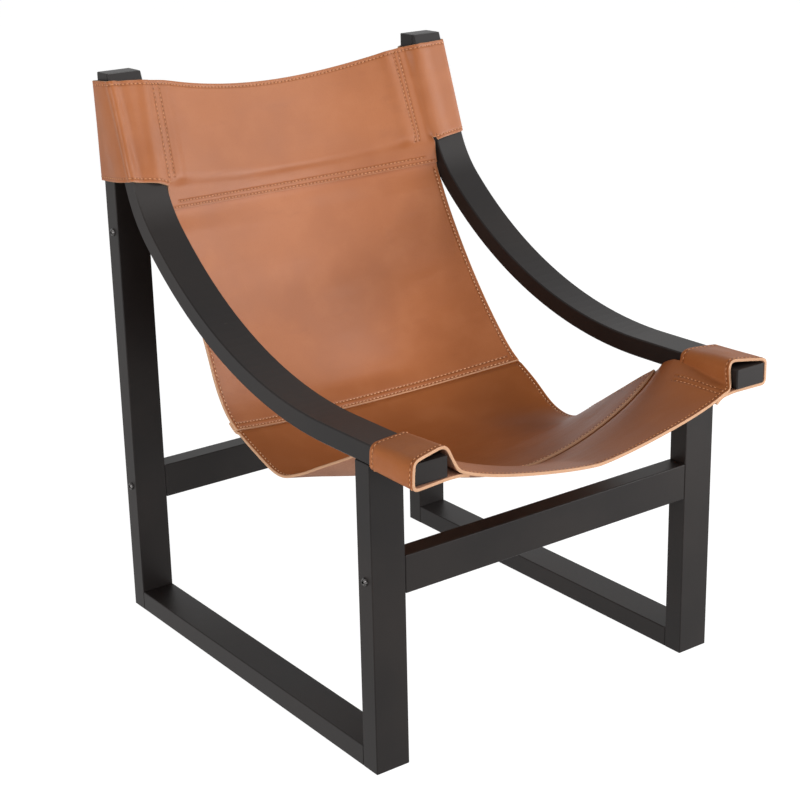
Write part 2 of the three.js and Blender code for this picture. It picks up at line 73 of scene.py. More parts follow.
# ---------------------------------------------------------------------------------------------
# Studio: a pale floor and white all round. A large soft light stands low in front, one high on
# the right glides over the back, one stands at each side, and a low card glints in the posts.
# ---------------------------------------------------------------------------------------------
class Value:
    """A number or colour that changes over a surface. Sums on it become nodes of its finish."""

    def __init__(self, finish, socket):
        self.finish, self.socket = finish, socket

    def reckon(self, operation, *others):
        return self.finish.maths(operation, self, *others)

    def __add__(self, other):
        return self.reckon("ADD", other)

    def __mul__(self, other):
        return self.reckon("MULTIPLY", other)

    def __sub__(self, other):
        return self.reckon("SUBTRACT", other)

    def __rsub__(self, other):
        return self.finish.maths("SUBTRACT", other, self)

    def __truediv__(self, other):
        return self.reckon("DIVIDE", other)

    __radd__ = __add__
    __rmul__ = __mul__

    def from_to(self, low, high):
        """Nought below the low value, one above the high one, and soft between them."""
        settings = {"interpolation_type": "SMOOTHSTEP"}
        return self.finish.node("ShaderNodeMapRange", settings, {0: self, 1: low, 2: high})


class Finish:
    """One surface finish, and the nodes that make it."""

    def __init__(self, name, roughness, **sockets):
        self.material = bpy.data.materials.new(name)
        self.material.use_nodes = True
        self.tree = self.material.node_tree
        self.surface = self.tree.nodes["Principled BSDF"]
        self.surface.inputs["Roughness"].default_value = roughness
        for socket, value in sockets.items():
            self.surface.inputs[socket.replace("_", " ")].default_value = value

    def node(self, kind, settings=None, sockets=None, output=0):
        made = self.tree.nodes.new(kind)
        for setting, value in (settings or {}).items():
            setattr(made, setting, value)
        for socket, value in (sockets or {}).items():
            if isinstance(value, Value):
                self.tree.links.new(value.socket, made.inputs[socket])
            else:
                made.inputs[socket].default_value = value
        return Value(self, made.outputs[output])

    def maths(self, operation, *values):
        return self.node("ShaderNodeMath", {"operation": operation}, dict(enumerate(values)))

    def place(self):
        """Where a spot lies on the chair, in metres."""
        return self.node("ShaderNodeTexCoord", output="Object")

    def stored(self, name):
        """A number that the mesh keeps under a name."""
        return self.node("ShaderNodeAttribute", {"attribute_name": name}, output="Fac")

    def noise(self, place, scale, detail=3.0, roughness=0.5, stretch=None):
        if stretch is not None:
            place = self.node("ShaderNodeMapping", {}, {"Vector": place, "Scale": stretch})
        sockets = {"Vector": place, "Scale": scale, "Detail": detail, "Roughness": roughness}
        return self.node("ShaderNodeTexNoise", {}, sockets)

    def cells(self, place, scale):
        """How far a spot lies from the middle of its cell."""
        return self.node("ShaderNodeTexVoronoi", {}, {"Vector": place, "Scale": scale}, "Distance")

    def blend(self, share, first, second):
        """A colour between two others."""
        settings = {"data_type": "RGBA", "clamp_factor": True}
        return self.node("ShaderNodeMix", settings, {0: share, 6: first, 7: second}, 2)

    def bump(self, height, distance, under=None):
        sockets = {"Height": height, "Distance": distance, "Strength": 1.0}
        if under is not None:
            sockets["Normal"] = under
        return self.node("ShaderNodeBump", {}, sockets)

    def give(self, **sockets):
        """Lets values feed the surface's own sockets."""
        for socket, value in sockets.items():
            self.tree.links.new(value.socket, self.surface.inputs[socket.replace("_", " ")])


def open_to_view(tree):
    """One for rays that carry the picture: straight ones, mirrored ones and those through glass."""
    path = tree.nodes.new("ShaderNodeLightPath")
    seen = path.outputs["Is Camera Ray"]
    for ray in ("Is Glossy Ray", "Is Transmission Ray"):
        either = tree.nodes.new("ShaderNodeMath")
        either.operation = "MAXIMUM"
        tree.links.new(seen, either.inputs[0])
        tree.links.new(path.outputs[ray], either.inputs[1])
        seen = either.outputs[0]
    return seen


floor_size = 60
floor_grey, floor_shine = (0.86, 0.86, 0.86, 1), 0.1
floor_glow, floor_glow_share = 1.22, 0.8

bpy.ops.object.select_all(action="DESELECT")
bpy.ops.mesh.primitive_plane_add(size=floor_size, location=(0, 0, 0))
floor = bpy.context.object
floor.name = "studio_floor"
pale_floor = Finish("pale_floor", 0.9, Base_Color=floor_grey, Specular_IOR_Level=floor_shine)
glowing = {"Color": (1, 1, 1, 1), "Strength": floor_glow}
floor_white = pale_floor.node("ShaderNodeEmission", {}, glowing)
floor_lit = Value(pale_floor, pale_floor.surface.outputs[0])
floor_seen = Value(pale_floor, open_to_view(pale_floor.tree))
floor_shares = {0: floor_seen * floor_glow_share, 1: floor_lit, 2: floor_white}
floor_mix = pale_floor.node("ShaderNodeMixShader", {}, floor_shares)
floor_end = pale_floor.tree.nodes["Material Output"].inputs["Surface"]
pale_floor.tree.links.new(floor_mix.socket, floor_end)
floor.data.materials.append(pale_floor.material)

room_light, room_white = 0.12, 1.0

studio = bpy.data.worlds.new("studio")
bpy.context.scene.world = studio
studio.use_nodes = True
studio_nodes, studio_links = studio.node_tree.nodes, studio.node_tree.links
studio_dim, studio_bright = studio_nodes["Background"], studio_nodes.new("ShaderNodeBackground")
for backdrop, strength in ((studio_dim, room_light), (studio_bright, room_white)):
    backdrop.inputs["Color"].default_value = (1, 1, 1, 1)
    backdrop.inputs["Strength"].default_value = strength
studio_mix = studio_nodes.new("ShaderNodeMixShader")
studio_links.new(open_to_view(studio.node_tree), studio_mix.inputs[0])
studio_links.new(studio_dim.outputs[0], studio_mix.inputs[1])
studio_links.new(studio_bright.outputs[0], studio_mix.inputs[2])
studio_links.new(studio_mix.outputs[0], studio_nodes["World Output"].inputs["Surface"])


def soft_light(name, place, target, size, power):
    light = bpy.data.lights.new(name, "AREA")
    light.shape = "SQUARE"
    light.size = size
    light.energy = power
    lamp = bpy.data.objects.new(name, light)
    lamp.location = place
    lamp.rotation_euler = (Vector(target) - Vector(place)).to_track_quat("-Z", "Y").to_euler()
    bpy.context.scene.collection.objects.link(lamp)


soft_light("key_light", (-0.3, -3.0, 1.25), (0, 0, 0.5), size=1.4, power=31)
soft_light("sheen_light", (1.6, -1.75, 2.5), (0, 0.1, 0.5), size=1.3, power=34)
soft_light("right_light", (2.9, -0.9, 0.9), (0, 0, 0.5), size=1.5, power=30)
soft_light("left_light", (-2.8, -0.7, 0.75), (0, 0, 0.45), size=1.2, power=54)
soft_light("low_card", (2.1, -2.3, 0.5), (0.2, 0.2, 0.7), size=0.8, power=42)

bpy.context.scene.view_settings.view_transform = "Standard"


# ---------------------------------------------------------------------------------------------
# Painted frame: sawn hardwood bars, glued and bolted, sprayed in satin espresso paint that is
# scuffed here and there. The bars keep the shape that the joiner's drawing gives them.
# ---------------------------------------------------------------------------------------------
def seen_as(red, green, blue):
    """A colour as the eye reads it, from 0 to 255, turned into the renderer's own numbers."""
    shares = (
        ((part / 255 + 0.055) / 1.055) ** 2.4 if part > 10 else part / 3295
        for part in (red, green, blue)
    )
    return (*shares, 1)


espresso_dark, espresso_light = seen_as(20, 16, 15), seen_as(28, 23, 21)
espresso_worn = seen_as(84, 77, 72)

painted = Finish("espresso_paint", 0.42, Specular_IOR_Level=0.2)
paint_place = painted.place()
paint_cloud = painted.noise(paint_place, scale=7.0, detail=4.0)
paint_grain = painted.noise(paint_place, scale=60.0, detail=4.0, roughness=0.6)
paint_speck = painted.noise(paint_place, scale=900.0, detail=2.0)
paint_scuff = painted.noise(
    paint_place, scale=26.0, detail=5.0, roughness=0.7, stretch=(1.0, 1.0, 4.0)
).from_to(0.68, 0.78)
paint_colour = painted.blend(paint_cloud.from_to(0.35, 0.7), espresso_dark, espresso_light)
painted.give(
    Base_Color=painted.blend(paint_scuff * 0.18, paint_colour, espresso_worn),
    Roughness=0.38 + 0.12 * paint_cloud + 0.1 * paint_scuff,
    Normal=painted.bump(paint_grain * 0.6 + paint_speck * 0.4, distance=0.00012),
)


def put_on(name, finish):
    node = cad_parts[name]
    node.data.materials.clear()
    node.data.materials.append(finish.material)


for side in ("left", "right"):
    for bar in ("rear_post", "front_leg", "floor_rail", "curved_rail"):
        put_on(f"{side}_{bar}", painted)
for bar in ("front_cross_rail", "rear_lower_cross_rail", "rear_upper_cross_rail"):
    put_on(bar, painted)


# ---------------------------------------------------------------------------------------------
# Fasteners: blackened steel furniture bolts with a hexagon socket, their barrel nuts inside the
# cross rails, and turned beech dowels in the glued joints.
# ---------------------------------------------------------------------------------------------
blackened = Finish("blackened_steel", 0.34, Metallic=1.0)
steel_wear = blackened.noise(blackened.place(), scale=700.0, detail=4.0, roughness=0.6)
steel_dark, steel_bright = seen_as(62, 60, 60), seen_as(128, 126, 124)
blackened.give(
    Base_Color=blackened.blend(steel_wear.from_to(0.45, 0.7), steel_dark, steel_bright),
    Roughness=0.28 + 0.25 * steel_wear,
    Normal=blackened.bump(steel_wear, distance=0.00005),
)
beech = Finish("turned_beech", 0.7)
beech_rings = beech.noise(
    beech.place(), scale=90.0, detail=5.0, roughness=0.6, stretch=(1.0, 6.0, 6.0)
)
beech.give(
    Base_Color=beech.blend(beech_rings, seen_as(196, 158, 116), seen_as(222, 190, 148)),
    Normal=beech.bump(beech_rings, distance=0.0001),
)
for node_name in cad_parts:
    if node_name.endswith("_bolt") or node_name.endswith("_barrel_nut"):
        put_on(node_name, blackened)
    elif "dowel" in node_name:
        put_on(node_name, beech)


# ---------------------------------------------------------------------------------------------
# Back panel: a wide piece of thick vegetable-tanned hide, tan on the grain side, napped on the
# flesh side and pale where it is cut. Its top is sewn under the band's strip and its foot lies
# on the seat panel, each with two rows of waxed thread in holes about 6 mm apart.
# ---------------------------------------------------------------------------------------------
hide_thickness = 0.0037
cut_round, cut_angle = 0.0009, math.radians(55)
flesh_slot, edge_slot = 1, 2
ply_gap = 0.0003
ply_step = hide_thickness + ply_gap
stitch_pitch = 0.0062
edge_inset = 0.0055

# A row of holes: the field that it follows and its value there, the field that it runs along,
# and where on that one it starts and ends.
Row = namedtuple("Row", "field inset run first last")


# A tone below one gives a piece a darker copy of the tan hide: painted shade.
def grain_side(name, rows, shade_tone=1.0, gloss=0.4):
    """The tan face: clouded, veined and pored, with a hole for each end of a stitch."""
    hole_width, hole_ends, groove_width = (0.0003, 0.0009), (0.36, 0.46), (0.0006, 0.0030)
    row_end = 0.001

    def tan(red, green, blue):
        return seen_as(red * shade_tone, green * shade_tone, blue * shade_tone)

    finish = Finish(name, 0.5, Specular_IOR_Level=gloss)
    place = finish.place()
    cloud = finish.noise(place, scale=5.5, detail=3.0, roughness=0.55)
    mottle = finish.noise(place, scale=22.0, detail=4.0, roughness=0.6)
    vein = finish.noise(place, scale=9.0, detail=5.0, roughness=0.65, stretch=(1.0, 3.2, 3.2))
    pore = finish.cells(place, scale=760.0)
    fine = finish.noise(place, scale=420.0, detail=3.0, roughness=0.6)
    colour = finish.blend(cloud.from_to(0.3, 0.7), tan(153, 87, 43), tan(167, 98, 52))
    colour = finish.blend(mottle.from_to(0.45, 0.75) * 0.2, colour, tan(176, 112, 72))
    colour = finish.blend(vein.from_to(0.6, 0.72) * 0.14, colour, tan(126, 68, 36))
    colour = finish.blend(fine.from_to(0.5, 0.8) * 0.2, colour, tan(134, 74, 41))
    dent = None
    for row in rows:
        away = (finish.stored(row.field) - row.inset).reckon("ABSOLUTE")
        run = finish.stored(row.run)
        begun = run.from_to(row.first, row.first + row_end)
        over = run.from_to(row.last - row_end, row.last)
        within = begun * (1 - over)
        beside = ((run / stitch_pitch).reckon("FRACT") - 0.5).reckon("ABSOLUTE")
        hole = (1 - away.from_to(*hole_width)) * beside.from_to(*hole_ends) * within
        groove = (1 - away.from_to(*groove_width)) * (0.55 + 0.9 * beside) * within
        # The groove along each row and each hole are painted darker: painted shade in these dents.
        colour = finish.blend(groove * 0.12, colour, tan(104, 58, 32))
        colour = finish.blend(hole * 0.4, colour, seen_as(80, 43, 24))
        pull = groove + 1.4 * hole
        dent = pull if dent is None else dent.reckon("MAXIMUM", pull)
    crease = finish.noise(place, scale=7.0, detail=2.0, roughness=0.5, stretch=(0.5, 3.6, 3.6))
    normal = finish.bump(crease, distance=0.0016)
    normal = finish.bump(pore * 0.35 + fine * 0.3 + mottle * 0.5, distance=0.00022, under=normal)
    normal = finish.bump(dent, distance=-0.0007, under=normal)
    finish.give(Base_Color=colour, Roughness=0.34 + 0.12 * mottle + 0.08 * fine, Normal=normal)
    return finish


def flesh_side():
    """The napped inner face."""
    nap_sheen = {"Sheen_Weight": 0.04, "Sheen_Roughness": 0.6}
    finish = Finish("hide_flesh", 0.85, Specular_IOR_Level=0.1, **nap_sheen)
    place = finish.place()
    nap = finish.noise(place, scale=330.0, detail=5.0, roughness=0.7)
    patch = finish.noise(place, scale=16.0, detail=4.0, roughness=0.6)
    colour = finish.blend(patch, seen_as(146, 97, 74), seen_as(176, 124, 96))
    colour = finish.blend(nap.from_to(0.4, 0.75) * 0.5, colour, seen_as(196, 150, 122))
    finish.give(Base_Color=colour, Normal=finish.bump(nap, distance=0.0005))
    return finish


def cut_edge():
    """The pale raw edge, a little fibrous."""
    finish = Finish("hide_cut_edge", 0.75, Specular_IOR_Level=0.25)
    fibre = finish.noise(finish.place(), scale=500.0, detail=4.0, roughness=0.7)
    colour = finish.blend(fibre, seen_as(186, 138, 104), seen_as(201, 162, 131))
    finish.give(Base_Color=colour, Normal=finish.bump(fibre, distance=0.0003))
    return finish


def waxed_thread(name, darker, lighter):
    """Twisted thread, drawn through wax."""
    finish = Finish(name, 0.6)
    twist = finish.noise(finish.place(), scale=900.0, detail=2.0)
    finish.give(
        Base_Color=finish.blend(twist, darker, lighter), Normal=finish.bump(twist, distance=0.0002)
    )
    return finish


flesh = flesh_side()
raw_edge = cut_edge()
pale_thread = waxed_thread("pale_thread", seen_as(214, 160, 118), seen_as(238, 194, 156))

# How the sling hangs, from the back panel's top to the front band's edge. Each station is how far
# back and how far up the leather lies at its left edge, its right edge and its middle line, in
# millimetres from the chair's own middle. The right side was pulled lower.
hang_left = [
    (265, 652), (258, 613), (240, 563), (210, 497), (178, 437), (150, 378), (118, 342), (62, 317),
    (8, 300), (-34, 312), (-84, 337), (-138, 364), (-190, 391), (-262, 422), (-353, 418),
]
hang_right = [
    (265, 652), (260, 614), (238, 562), (201, 497), (160, 434), (119, 383), (85, 350), (40, 323),
    (-10, 293), (-58, 292), (-102, 323), (-152, 359), (-203, 395), (-258, 426), (-353, 417),
]
hang_middle = [
    (303, 634), (300, 602), (283, 543), (255, 468), (220, 398), (180, 343), (148, 320), (90, 289),
    (20, 278), (-50, 284), (-120, 299), (-175, 311), (-212, 320), (-282, 346), (-353, 365),
]
hang_half_width = [233, 233, 233, 234, 236, 237, 237, 237, 235, 231, 230, 230, 230, 230, 230]
front_sag_start, front_sag_length = 10.5, 3.5
millimetres = 1000

# The stations of the seams and of the loops' rear edges, and how far the pieces lap there.
band_station, seat_station, front_station, loop_station = 1.0, 6.1, 12.05, 12.93
top_lap, seat_lap, front_lap = 0.024, 0.016, 0.016
panel_column_count = 125
across_panel = np.linspace(-1, 1, panel_column_count)


def flowing(points, station):
    """Places on a smooth line through points, at a station counted from the first."""
    points = np.array(points, float).reshape(len(points), -1)
    station = np.clip(np.asarray(station, float), 0, len(points) - 1)
    first = np.minimum(station.astype(int), len(points) - 2)
    part = (station - first)[..., None]
    padded = np.vstack([2 * points[0] - points[1], points, 2 * points[-1] - points[-2]])
    a, b, c, d = (padded[first + k] for k in range(4))
    squared, cubed = 2 * a - 5 * b + 4 * c - d, 3 * b - a - 3 * c + d
    return 0.5 * (2 * b + (c - a) * part + squared * part**2 + cubed * part**3)


def hung(station, across):
    """Places on the hanging sling, for stations and shares of the half width, in metres."""
    station, across = np.broadcast_arrays(np.asarray(station, float), np.asarray(across, float))
    left, right, middle = (flowing(line, station) for line in (hang_left, hang_right, hang_middle))
    edge = np.where((across < 0)[..., None], left, right)
    out = np.abs(across)
    near_front = np.clip((station - front_sag_start) / front_sag_length, 0, 1)
    belly = out**2.05
    front_belly = 0.8 * out**1.4 + 0.2 * out**8
    rise = belly + (front_belly - belly) * near_front
    side = middle + (edge - middle) * rise[..., None]
    half = flowing(hang_half_width, station)[..., 0]
    return np.stack([half * across, side[..., 0], side[..., 1]], -1) / millimetres


def station_after(station, distance):
    """The station that lies a distance in metres further along the sling's edge."""
    little = 0.01
    here, ahead = hung(station, 1.0), hung(station + little, 1.0)
    return station + little * distance / np.linalg.norm(ahead - here)


def lengths(grid, axis):
    """How far each place lies from the grid's start, measured over the surface."""
    steps = np.linalg.norm(np.diff(grid, axis=axis), axis=-1)
    total = np.cumsum(steps, axis=axis)
    return np.insert(total, 0, 0, axis=axis)


def outward(grid):
    """The direction out of the grain side at each place."""
    down, over = np.gradient(grid, axis=0), np.gradient(grid, axis=1)
    normal = np.cross(down, over)
    return normal / np.maximum(np.linalg.norm(normal, axis=-1, keepdims=True), 1e-12)


def hill(field, middle, width):
    return np.exp(-(((field - middle) / width) ** 2))


def soft_step(field, low, high):
    share = np.clip((field - low) / (high - low), 0, 1)
    return share * share * (3 - 2 * share)


def new_piece(name, places, faces, finishes):
    """A mesh object, alone selected, with its finishes in order."""
    mesh = bpy.data.meshes.new(name)
    mesh.from_pydata(places.tolist(), [], faces)
    for finish in finishes:
        mesh.materials.append(finish.material)
    piece = bpy.data.objects.new(name, mesh)
    bpy.context.scene.collection.objects.link(piece)
    bpy.ops.object.select_all(action="DESELECT")
    piece.select_set(True)
    bpy.context.view_layer.objects.active = piece
    return piece


def leather_sheet(name, grid, fields, finish, kept=None):
    """Hide with its grain side out: a grid of places becomes a sheet with rounded cut edges."""
    rows, columns = grid.shape[:2]
    corner = np.arange(rows * columns).reshape(rows, columns)
    cells = np.stack([corner[:-1, :-1], corner[1:, :-1], corner[1:, 1:], corner[:-1, 1:]], -1)
    if kept is not None:
        cells = cells[kept]
    used, cells = np.unique(cells.reshape(-1, 4), return_inverse=True)
    faces = cells.reshape(-1, 4).tolist()
    piece = new_piece(name, grid.reshape(-1, 3)[used], faces, (finish, flesh, raw_edge))
    for field, values in fields.items():
        stored = piece.data.attributes.new(field, "FLOAT", "POINT")
        stored.data.foreach_set("value", values.reshape(-1)[used].astype(np.float32))
    thick = piece.modifiers.new("hide", "SOLIDIFY")
    thick.thickness = hide_thickness
    thick.offset = 0
    thick.use_even_offset = True
    thick.material_offset = flesh_slot
    thick.material_offset_rim = edge_slot
    bpy.ops.object.modifier_apply(modifier="hide")
    round_off = piece.modifiers.new("cut", "BEVEL")
    round_off.width = cut_round
    round_off.segments = 2
    round_off.limit_method = "ANGLE"
    round_off.angle_limit = cut_angle
    round_off.material = edge_slot
    bpy.ops.object.modifier_apply(modifier="cut")
    bpy.ops.object.shade_smooth()
    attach(piece, "root")
    return piece


def stitch_line(grid, normals, fields, row):
    """Where a row of stitches lies on the grain side, the way out there, and how far it has run."""
    field = fields[row.field]
    tables = (field, grid, normals, fields[row.run])
    steps_down, steps_over = (np.abs(np.diff(field, axis=axis)).mean() for axis in (0, 1))
    if steps_over <= steps_down:
        tables = tuple(np.swapaxes(table, 0, 1) for table in tables)
    places, outs, runs = [], [], []
    for values, *others in zip(*tables):
        crossing = np.flatnonzero((values[:-1] - row.inset) * (values[1:] - row.inset) <= 0)
        if len(crossing) == 0:
            continue
        k = crossing[0]
        part = (row.inset - values[k]) / ((values[k + 1] - values[k]) or 1)
        for gathered, table in zip((places, outs, runs), others):
            gathered.append(table[k] + (table[k + 1] - table[k]) * part)
    places, outs, runs = np.array(places), np.array(outs), np.array(runs)
    within = (runs >= row.first) & (runs <= row.last)
    return places[within], outs[within], runs[within]


def stitches(name, grid, fields, rows, finish):
    """One mesh of short threads. Each dips into its holes and lies proud between them."""
    sides, thread_radius, flatness, length_share = 6, 0.00054, 0.8, 0.70
    proud = hide_thickness / 2 + np.array([-0.0007, 0.0001, 0.00025, 0.0001, -0.0007])
    wide = thread_radius * np.array([0.55, 1, 1.1, 1, 0.55])
    rings = len(wide)
    turn = np.arange(sides) / sides * 2 * math.pi
    round_about, up_and_down = np.cos(turn)[None, :, None], flatness * np.sin(turn)[None, :, None]
    normals = outward(grid)
    corners, faces = [], []
    for places, outs, runs in [stitch_line(grid, normals, fields, row) for row in rows]:
        if runs[-1] < runs[0]:
            places, outs, runs = places[::-1], outs[::-1], runs[::-1]
        for count in range(int(math.ceil(runs[0] / stitch_pitch)), int(runs[-1] / stitch_pitch)):
            start = (count + 0.5 - length_share / 2) * stitch_pitch
            at = start + np.linspace(0, 1, rings) * length_share * stitch_pitch
            middle, out = (
                np.stack([np.interp(at, runs, table[:, k]) for k in range(3)], -1)
                for table in (places, outs)
            )
            out /= np.linalg.norm(out, axis=-1, keepdims=True)
            along = middle[-1] - middle[0]
            along /= np.linalg.norm(along)
            beside = np.cross(along, out)
            middle = middle + out * proud[:, None]
            ring = round_about * beside[:, None] + up_and_down * out[:, None]
            base = len(corners) * sides * rings
            corners.append((middle[:, None] + wide[:, None, None] * ring).reshape(-1, 3))
            for r in range(rings - 1):
                here, ahead = base + r * sides, base + (r + 1) * sides
                for s in range(sides):
                    t = (s + 1) % sides
                    faces.append([here + s, here + t, ahead + t, ahead + s])
            faces.append([base + k for k in range(sides)][::-1])
            faces.append([base + (rings - 1) * sides + k for k in range(sides)])
    thread = new_piece(name, np.concatenate(corners), faces, (finish,))
    bpy.ops.object.mode_set(mode="EDIT")
    bpy.ops.mesh.select_all(action="SELECT")
    bpy.ops.mesh.normals_make_consistent(inside=False)
    bpy.ops.object.mode_set(mode="OBJECT")
    bpy.ops.object.shade_smooth()
    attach(thread, "root")
    return thread


def panel_grid(first, last, count):
    stations = np.linspace(first, last, count)[:, None]
    return hung(stations, across_panel[None, :])


def panel_fields(grid):
    """Distances over the leather from a panel's edges."""
    along, across = lengths(grid, 0), lengths(grid, 1)
    return {
        "along": along,
        "across": across,
        "from_left": across,
        "from_right": across[:, -1:] - across,
        "from_foot": along[-1:, :] - along,
    }


back_row_count = 96
back_ramp = 0.035

back_first = station_after(band_station, -top_lap)
back_last = station_after(seat_station, seat_lap / 2)
back_grid = panel_grid(back_first, back_last, back_row_count)
back_fields = panel_fields(back_grid)
back_along, back_across = back_fields["along"], back_fields["across"]
back_sink = ply_step * (1 - soft_step(back_along, top_lap, top_lap + back_ramp))
# soft waves: their height, and the place and the width of each hill down and across the panel
back_ease = 0.0012 * (hill(back_across, 0.16, 0.07) - hill(back_across, 0.36, 0.06))
back_ease += 0.0016 * hill(back_along, 0.11, 0.03) * hill(back_across, 0.22, 0.13)
back_ease -= 0.0014 * hill(back_along, 0.17, 0.025) * hill(back_across, 0.28, 0.15)
back_grid = back_grid + outward(back_grid) * (back_ease - back_sink)[..., None]
back_rows = [
    Row("from_left", edge_inset, "along", 0.026, 1),
    Row("from_right", edge_inset, "along", 0.026, 1),
    Row("from_foot", 0.0032, "across", 0.004, 0.48),
    Row("from_foot", 0.0115, "across", 0.004, 0.48),
]
back_panel = leather_sheet("back_sheet", back_grid, back_fields, grain_side("back_hide", back_rows))
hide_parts("back_panel")
back_stitches = stitches("back_stitches", back_grid, back_fields, back_rows, pale_thread)


# ---------------------------------------------------------------------------------------------
# Seat panel: the hide that carries the sitter, painted darker as shade in its hollow. It is sewn
# under the back panel's foot and over the front band, where its pale cut edge faces forward.
# ---------------------------------------------------------------------------------------------
seat_row_count = 118
seat_press = 0.0008
seat_ramp_start, seat_ramp_end = seat_lap + 0.001, seat_lap + 0.009

seat_first = station_after(seat_station, -seat_lap / 2)
seat_last = station_after(front_station, front_lap / 2)
seat_grid = panel_grid(seat_first, seat_last, seat_row_count)
seat_fields = panel_fields(seat_grid)
seat_step = soft_step(seat_fields["along"], seat_ramp_start, seat_ramp_end)
seat_sink = (ply_step - seat_press) * (1 - seat_step)
seat_grid = seat_grid - outward(seat_grid) * seat_sink[..., None]
seat_rows = [
    Row("from_left", edge_inset, "along", 0.018, 1),
    Row("from_right", edge_inset, "along", 0.018, 1),
    Row("from_foot", 0.0045, "across", 0.004, 0.48),
]
# The seat's hide is a darker copy of the tan: painted shade in the sling's hollow.
seat_hide = grain_side("seat_hide", seat_rows, shade_tone=0.94, gloss=0.16)
seat_panel = leather_sheet("seat_sheet", seat_grid, seat_fields, seat_hide)
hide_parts("seat_panel")
seat_stitches = stitches("seat_stitches", seat_grid, seat_fields, seat_rows, pale_thread)


# ---------------------------------------------------------------------------------------------
# Top band: a strip of hide between the posts that ends in two sleeves. Each sleeve goes round a
# post and its rail and is closed by two rows of stitches. The strip laps over the back panel.
# ---------------------------------------------------------------------------------------------
inner_face, outer_face = 0.2345, 0.2845
post_back, frame_top = 0.3487, 0.8
hide_skin = hide_thickness / 2 + ply_gap
seam_place = 0.2125
rail_lean, rail_top_front, rail_bend_start = math.radians(70.4), 0.315, 0.6565
rail_bend_middle, rail_bend_radius = (0.11604, 0.70917), 0.157


def rail_front(height):
    """How far back the rail's front face lies at a height."""
    straight = rail_top_front - (frame_top - height) / math.tan(rail_lean)
    below = rail_bend_middle[1] - height
    bent = rail_bend_middle[0] + np.sqrt(np.maximum(rail_bend_radius**2 - below**2, 0))
    return np.where(height > rail_bend_start, straight, bent)


sleeve_top, sleeve_foot = 0.786, 0.652
sleeve_row_count, strip_row_count = 46, 16
main_count, flank_count, bend_count = 61, 6, 6
height_share = np.linspace(1, 0, sleeve_row_count)
heights = sleeve_foot + (sleeve_top - sleeve_foot) * height_share
front_face = rail_front(heights) - hide_skin / math.sin(rail_lean)
band_bow, band_droop_foot, band_droop_top = 0.040, 0.019, 0.032
main_share = np.linspace(0, seam_place / inner_face, main_count)
strip_half = 0.233
flank = np.linspace(seam_place, strip_half, flank_count + 1)[1:] / strip_half
strip_across = np.concatenate([main_share * inner_face / strip_half, flank])
strip_stations = np.linspace(0, 1, strip_row_count + 1)[1:] * band_station

# Each table below holds the right side (1) and the left side (-1).
sleeve_straights = (6, 16, 16, 14, 16, 4)
sleeve_bends = {1: (0.007, 0.011, 0.006, 0.006, 0.006), -1: (0.006, 0.008, 0.005, 0.006, 0.006)}
# how far the sleeve's foot and its top edge lie above their level, at distances from the seam
sleeve_distance = [
    -0.03, 0.0, 0.0203, 0.0206, 0.0225, 0.026, 0.034, 0.050, 0.075, 0.100, 0.130, 0.170, 0.200,
]
sleeve_hem = {
    1: [0, 0, 0, -0.006, -0.0045, -0.0035, -0.002, 0, 0.003, 0.002, 0, 0, 0],
    -1: [0, 0, 0, -0.006, -0.0040, -0.0025, 0, 0.004, 0.008, 0.004, 0, -0.003, -0.003],
}
sleeve_brim = {
    1: [0, -0.001, 0, 0, 0, 0.001, 0.001, 0.002, 0.003, 0.002, 0, -0.006, -0.008],
    -1: [
        0, -0.002, 0.001, 0.001, 0.001, 0.0015, 0.0025, 0.004, 0.0055, 0.004, 0.001, -0.006, -0.008,
    ],
}
# the two rows that close each sleeve: distances from the seam at the top and at the foot
sleeve_seams = {1: ((-0.0167, -0.0107), (-0.0085, -0.0047)), -1: ((-0.003, 0.007), (0.009, 0.018))}
seam_length = {1: 0.145, -1: 0.137}
# the rows pull the sleeve into ridges and valleys: the height of each, how far from the rows or
# from the seam it lies at the foot and at the top, and its width
ridges_from_rows = {
    1: [
        (0.0017, -0.018, -0.018, 0.009), (-0.0013, 0, 0, 0.007), (-0.0028, 0.014, 0.014, 0.0075),
        (0.0036, 0.037, 0.037, 0.0135), (-0.0006, 0.060, 0.060, 0.010),
    ],
    -1: [
        (0.0017, -0.018, -0.018, 0.009), (-0.0013, 0, 0, 0.007), (-0.0012, 0.011, 0.011, 0.0055),
        (0.0027, 0.026, 0.023, 0.0080),
    ],
}
ridges_from_seam = {
    1: [(0.0012, 0.110, 0.110, 0.018)],
    -1: [
        (-0.0024, 0.060, 0.060, 0.0075), (0.0036, 0.075, 0.072, 0.0046),
        (-0.0012, 0.084, 0.084, 0.006), (0.0012, 0.110, 0.110, 0.018),
    ],
}


def folded(corners, reaches, straights):
    """Rows of places along a strip that is folded at corners: straight runs and soft bends."""
    runs_per_bend = 2.05  # so that no bend reaches over half of a run
    starts, ends = [corners[:, 0]], []
    for k in range(1, corners.shape[1] - 1):
        for other, bend_ends in ((k - 1, ends), (k + 1, starts)):
            toward = corners[:, other] - corners[:, k]
            size = np.linalg.norm(toward, axis=-1, keepdims=True)
            reach = np.minimum(reaches[k - 1], size / runs_per_bend)
            bend_ends.append(corners[:, k] + toward / size * reach)
    ends.append(corners[:, -1])
    places = []
    for k, (start, end) in enumerate(zip(starts, ends)):
        places += [start + (end - start) * share for share in np.linspace(0, 1, straights[k] + 1)]
        if k < len(reaches):
            corner, after = corners[:, k + 1], starts[k + 1]
            for share in np.linspace(0, 1, bend_count + 2)[1:-1]:
                near = end + (corner - end) * share
                far = corner + (after - corner) * share
                places.append(near + (far - near) * share)
    return np.stack(places, 1)


